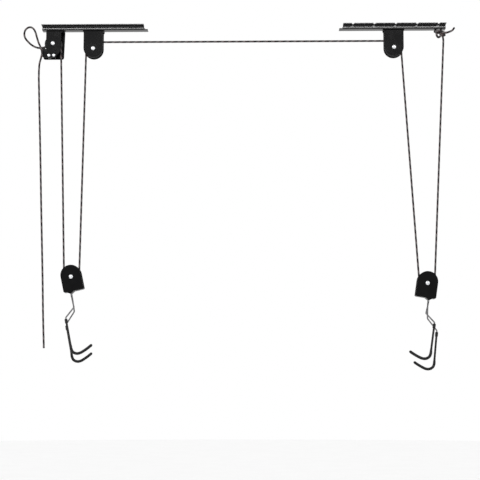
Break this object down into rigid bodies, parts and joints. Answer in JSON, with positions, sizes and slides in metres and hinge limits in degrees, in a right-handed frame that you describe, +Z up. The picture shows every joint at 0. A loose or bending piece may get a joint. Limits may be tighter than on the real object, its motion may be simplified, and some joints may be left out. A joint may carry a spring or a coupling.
{
  "type": "bicycle ceiling hoist",
  "caption": "Ceiling bicycle hoist: flanged rails with pulleys and a rope brake, hanging blocks with doubled wire hooks, and one black rope.",
  "frame": {"origin": "on the ceiling face of the brake rail, in the middle of its front flange", "axes": "+X along the hoist from the brake rail to the anchor rail, +Y away from the front, +Z up to the ceiling"},
  "size_m": [1.0708, 0.1282, 0.8554],
  "materials": {
    "anchor_rail": "gloss black enamel on pressed steel",
    "brake_axle": "bright zinc plate",
    "brake_cam": "black finished cast cam",
    "brake_crown_rivet_a": "bright zinc plate",
    "brake_crown_rivet_b": "bright zinc plate",
    "brake_housing": "gloss black enamel on pressed steel",
    "brake_rail": "gloss black enamel on pressed steel",
    "brake_wheel": "black nylon, satin",
    "cam_pivot_rivet": "bright zinc plate",
    "left_block_axle": "bright zinc plate",
    "left_block_shell": "gloss black enamel on pressed steel",
    "left_block_wheel": "black nylon, satin",
    "left_crown_rivet_a": "bright zinc plate",
    "left_crown_rivet_b": "bright zinc plate",
    "left_fixed_axle": "bright zinc plate",
    "left_fixed_wheel": "black nylon, satin",
    "left_hook_sleeve_front": "soft black vinyl",
    "left_hook_sleeve_rear": "soft black vinyl",
    "left_hook_wire": "bare steel wire",
    "left_yoke": "gloss black enamel on pressed steel",
    "pull_rope": "black braided rope with light and reddish flecks",
    "right_block_axle": "bright zinc plate",
    "right_block_shell": "gloss black enamel on pressed steel",
    "right_block_wheel": "black nylon, satin",
    "right_crown_rivet_a": "bright zinc plate",
    "right_crown_rivet_b": "bright zinc plate",
    "right_fixed_axle": "bright zinc plate",
    "right_fixed_wheel": "black nylon, satin",
    "right_hook_sleeve_front": "soft black vinyl",
    "right_hook_sleeve_rear": "soft black vinyl",
    "right_hook_wire": "bare steel wire",
    "right_yoke": "gloss black enamel on pressed steel",
    "rope_anchor_hitch": "black braided rope with light and reddish flecks",
    "rope_fall_anchor": "black braided rope with light and reddish flecks",
    "rope_fall_left_inner": "black braided rope with light and reddish flecks",
    "rope_fall_left_outer": "black braided rope with light and reddish flecks",
    "rope_fall_right_inner": "black braided rope with light and reddish flecks",
    "rope_run_level": "black braided rope with light and reddish flecks",
    "rope_wrap_brake": "black braided rope with light and reddish flecks",
    "rope_wrap_left_block": "black braided rope with light and reddish flecks",
    "rope_wrap_left_fixed": "black braided rope with light and reddish flecks",
    "rope_wrap_right_block": "black braided rope with light and reddish flecks",
    "rope_wrap_right_fixed": "black braided rope with light and reddish flecks",
    "stop_rivet": "bright zinc plate"
  },
  "bodies": {
    "ceiling_frame": {"anchor_rail": "anchor_rail", "brake_axle": "brake_axle", "brake_crown_rivet_a": "brake_crown_rivet_a", "brake_crown_rivet_b": "brake_crown_rivet_b", "brake_housing": "brake_housing", "brake_rail": "brake_rail", "cam_pivot_rivet": "cam_pivot_rivet", "left_crown_rivet_a": "left_crown_rivet_a", "left_crown_rivet_b": "left_crown_rivet_b", "left_fixed_axle": "left_fixed_axle", "left_yoke": "left_yoke", "pull_rope": "pull_rope", "right_crown_rivet_a": "right_crown_rivet_a", "right_crown_rivet_b": "right_crown_rivet_b", "right_fixed_axle": "right_fixed_axle", "right_yoke": "right_yoke", "rope_anchor_hitch": "rope_anchor_hitch", "rope_fall_anchor": "rope_fall_anchor", "rope_fall_left_inner": "rope_fall_left_inner", "rope_fall_left_outer": "rope_fall_left_outer", "rope_fall_right_inner": "rope_fall_right_inner", "rope_run_level": "rope_run_level", "rope_wrap_brake": "rope_wrap_brake", "rope_wrap_left_fixed": "rope_wrap_left_fixed", "rope_wrap_right_fixed": "rope_wrap_right_fixed", "stop_rivet": "stop_rivet"},
    "left_lift": {"left_block_axle": "left_block_axle", "rope_wrap_left_block": "rope_wrap_left_block"},
    "right_lift": {"right_block_axle": "right_block_axle", "rope_wrap_right_block": "rope_wrap_right_block"},
    "left_wheel": {"left_block_wheel": "left_block_wheel"},
    "right_wheel": {"right_block_wheel": "right_block_wheel"},
    "left_block": {"left_block_shell": "left_block_shell"},
    "right_block": {"right_block_shell": "right_block_shell"},
    "left_hook": {"left_hook_wire": "left_hook_wire", "left_hook_sleeve_front": "left_hook_sleeve_front", "left_hook_sleeve_rear": "left_hook_sleeve_rear"},
    "right_hook": {"right_hook_wire": "right_hook_wire", "right_hook_sleeve_front": "right_hook_sleeve_front", "right_hook_sleeve_rear": "right_hook_sleeve_rear"},
    "brake_pulley": {"brake_wheel": "brake_wheel"},
    "left_pulley": {"left_fixed_wheel": "left_fixed_wheel"},
    "right_pulley": {"right_fixed_wheel": "right_fixed_wheel"},
    "cam": {"brake_cam": "brake_cam"}
  },
  "joints": [
    {"name": "left_block_lift", "type": "slide", "parent": "ceiling_frame", "child": "left_lift", "axis": [0, 0, 1], "range_m": [0, 0.45], "deforming": ["rope_fall_left_inner", "rope_fall_left_outer"]},
    {"name": "right_block_lift", "type": "slide", "parent": "ceiling_frame", "child": "right_lift", "axis": [0, 0, 1], "range_m": [0, 0.45], "deforming": ["rope_fall_right_inner", "rope_fall_anchor"]},
    {"name": "left_block_wheel_spin", "type": "hinge", "parent": "left_lift", "child": "left_wheel", "pos_m": [-0.0462, 0.0155, -0.6277], "axis": [0, 1, 0], "continuous": true},
    {"name": "right_block_wheel_spin", "type": "hinge", "parent": "right_lift", "child": "right_wheel", "pos_m": [0.8196, 0.0155, -0.6445], "axis": [0, 1, 0], "continuous": true},
    {"name": "left_fixed_wheel_spin", "type": "hinge", "parent": "ceiling_frame", "child": "left_pulley", "pos_m": [0.0006, 0.0155, -0.0579], "axis": [0, 1, 0], "continuous": true},
    {"name": "right_fixed_wheel_spin", "type": "hinge", "parent": "ceiling_frame", "child": "right_pulley", "pos_m": [0.7461, 0.0155, -0.0579], "axis": [0, 1, 0], "continuous": true},
    {"name": "brake_wheel_spin", "type": "hinge", "parent": "ceiling_frame", "child": "brake_pulley", "pos_m": [-0.0996, 0.0155, -0.0447], "axis": [0, 1, 0], "continuous": true},
    {"name": "left_block_swing", "type": "hinge", "parent": "left_lift", "child": "left_block", "pos_m": [-0.0462, 0.0155, -0.6277], "axis": [0, 1, 0], "range_deg": [-20, 32]},
    {"name": "left_hook_swing", "type": "hinge", "parent": "left_block", "child": "left_hook", "pos_m": [-0.04649, 0.0155, -0.66722], "axis": [0, 1, 0], "range_deg": [-9, 9]},
    {"name": "right_block_swing", "type": "hinge", "parent": "right_lift", "child": "right_block", "pos_m": [0.8196, 0.0155, -0.6445], "axis": [0, 1, 0], "range_deg": [-32, 20]},
    {"name": "right_hook_swing", "type": "hinge", "parent": "right_block", "child": "right_hook", "pos_m": [0.8223, 0.0155, -0.68393], "axis": [0, 1, 0], "range_deg": [-9, 9]},
    {"name": "brake_cam_turn", "type": "hinge", "parent": "ceiling_frame", "child": "cam", "pos_m": [-0.1091, 0.0155, -0.0753], "axis": [0, 1, 0], "range_deg": [-20, 0], "stiffness_Nm_per_rad": 0.03, "springref_deg": 20.05}
  ],
  "couplings": [
    {"joint": "right_block_lift", "follows": "left_block_lift", "ratio": 1},
    {"joint": "right_block_wheel_spin", "follows": "left_block_lift", "rad_per_m": 54.054},
    {"joint": "right_fixed_wheel_spin", "follows": "left_block_lift", "rad_per_m": -108.11},
    {"joint": "left_fixed_wheel_spin", "follows": "left_block_lift", "rad_per_m": -108.11},
    {"joint": "left_block_wheel_spin", "follows": "left_block_lift", "rad_per_m": 162.16},
    {"joint": "brake_wheel_spin", "follows": "left_block_lift", "rad_per_m": -216.22}
  ]
}
